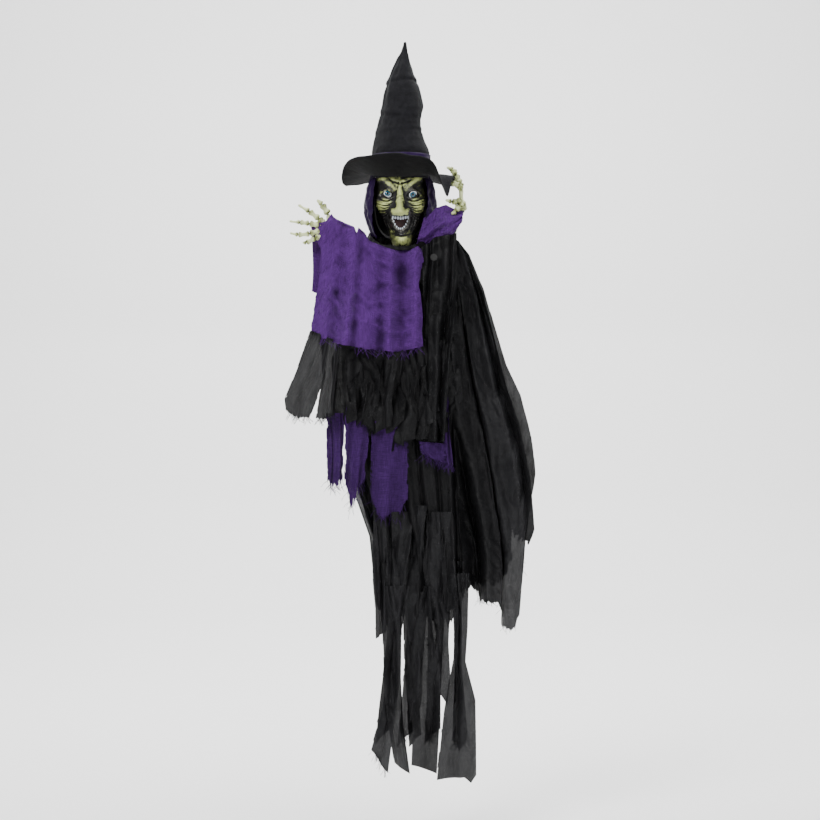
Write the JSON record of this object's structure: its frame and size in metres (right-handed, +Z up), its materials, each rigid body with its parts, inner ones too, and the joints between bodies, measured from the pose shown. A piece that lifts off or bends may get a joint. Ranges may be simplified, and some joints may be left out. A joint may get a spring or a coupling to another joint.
{
  "type": "animated witch figure",
  "caption": "Hanging animated witch figure: pointed felt hat, green mask with lit eyes, skeleton hands, purple gauze shawl and tattered black robe.",
  "frame": {"origin": "centre of the hanger eye's bore", "axes": "+Z up through the hat, the figure faces -Y, +Y along the eye's bore to the wall"},
  "size_m": [0.409, 0.1965, 1.194],
  "materials": {
    "steel": "satin",
    "case_plastic": "fine grain",
    "white_plastic": "satin",
    "motor_can": "satin",
    "speaker_cone": "matte",
    "circuit_green": "gloss solder mask",
    "cell_jacket": "gloss",
    "button_red": "gloss",
    "mask_skin": "satin with dark wash",
    "mouth_dark": "satin",
    "teeth": "gloss",
    "eye": "gloss",
    "led": "clear",
    "hat_felt": "napped felt",
    "purple_satin": "satin",
    "purple_gauze": "open weave",
    "black_cloth": "thin crinkled cloth",
    "bone": "satin with olive wash",
    "stud_metal": "dull"
  },
  "bodies": {
    "torso": {"hanger_bracket": "steel", "bracket_screws": "steel", "chest_front": "case_plastic", "chest_back": "case_plastic", "case_screws": "steel", "shoulder_bar": "steel", "neck_bush": "white_plastic", "motor_plate": "case_plastic", "motor": "motor_can", "speaker": "speaker_cone", "sound_sensor": "steel", "circuit_board": "circuit_green", "battery_cells": "cell_jacket", "battery_contacts": "steel", "collar": "black_cloth", "shawl_chest": "purple_gauze", "bodice": "black_cloth", "waist_ruffle": "black_cloth", "purple_strips": "purple_gauze", "robe_front": "black_cloth", "robe_back": "black_cloth", "robe_tails": "black_cloth", "cape_front": "black_cloth", "cape_side": "black_cloth", "cape_back": "black_cloth", "cape_stud": "stud_metal"},
    "head": {"neck_shaft": "steel", "head_gear": "white_plastic", "neck_plate": "case_plastic", "rear_head_shell": "case_plastic", "face_mask": "mask_skin", "mouth_insert": "mouth_dark", "upper_teeth": "teeth", "lower_teeth": "teeth", "left_eye": "eye", "right_eye": "eye", "eye_leds": "led", "led_holder": "case_plastic", "hat_crown": "hat_felt", "hat_brim": "hat_felt", "hat_band": "purple_satin", "hood": "purple_satin"},
    "pinion": {"motor_shaft": "steel", "drive_pinion": "white_plastic"},
    "door": {"battery_door": "case_plastic"},
    "switch": {"power_switch": "white_plastic"},
    "button": {"push_button": "button_red", "button_spring": "steel"},
    "left_arm": {"left_arm_rod": "steel", "left_rod_clip": "steel", "shawl_arm": "purple_gauze", "sleeve_flap": "black_cloth"},
    "left_hand": {"left_palm": "bone", "left_fingers": "bone"},
    "right_arm": {"right_arm_rod": "steel", "right_rod_clip": "steel", "right_sleeve": "purple_gauze"},
    "right_hand": {"right_palm": "bone", "right_fingers": "bone"}
  },
  "joints": [
    {"name": "head_turn", "type": "hinge", "parent": "torso", "child": "head", "pos_m": [0, -0.1, 0], "axis": [0, 0, 1], "range_deg": [-15, 15]},
    {"name": "pinion_turn", "type": "hinge", "parent": "torso", "child": "pinion", "pos_m": [0.024, -0.1, -0.04], "axis": [0, 0, 1], "range_deg": [-46, 46]},
    {"name": "left_arm_swing", "type": "hinge", "parent": "torso", "child": "left_arm", "pos_m": [-0.058, -0.1, -0.018], "axis": [0, 0, 1], "range_deg": [-25, 20]},
    {"name": "left_hand_roll", "type": "hinge", "parent": "left_arm", "child": "left_hand", "pos_m": [-0.112, -0.152, 0.012], "axis": [-0.96, -0.16, 0.23], "range_deg": [-45, 45]},
    {"name": "right_arm_swing", "type": "hinge", "parent": "torso", "child": "right_arm", "pos_m": [0.058, -0.1, -0.018], "axis": [0, 0, 1], "range_deg": [-3, 45]},
    {"name": "right_hand_turn", "type": "hinge", "parent": "right_arm", "child": "right_hand", "pos_m": [0.1005, -0.118, 0.046], "axis": [0, 0, 1], "range_deg": [-40, 10]},
    {"name": "battery_door_slide", "type": "slide", "parent": "torso", "child": "door", "axis": [0, 0, -1], "range_m": [0, 0.062]},
    {"name": "power_switch_slide", "type": "slide", "parent": "torso", "child": "switch", "axis": [1, 0, 0], "range_m": [0, 0.006]},
    {"name": "button_press", "type": "slide", "parent": "torso", "child": "button", "axis": [0, -1, 0], "range_m": [0, 0.002], "stiffness_N_per_m": 150, "springref_m": -0.001}
  ],
  "couplings": [
    {"joint": "pinion_turn", "follows": "head_turn", "ratio": -3}
  ]
}
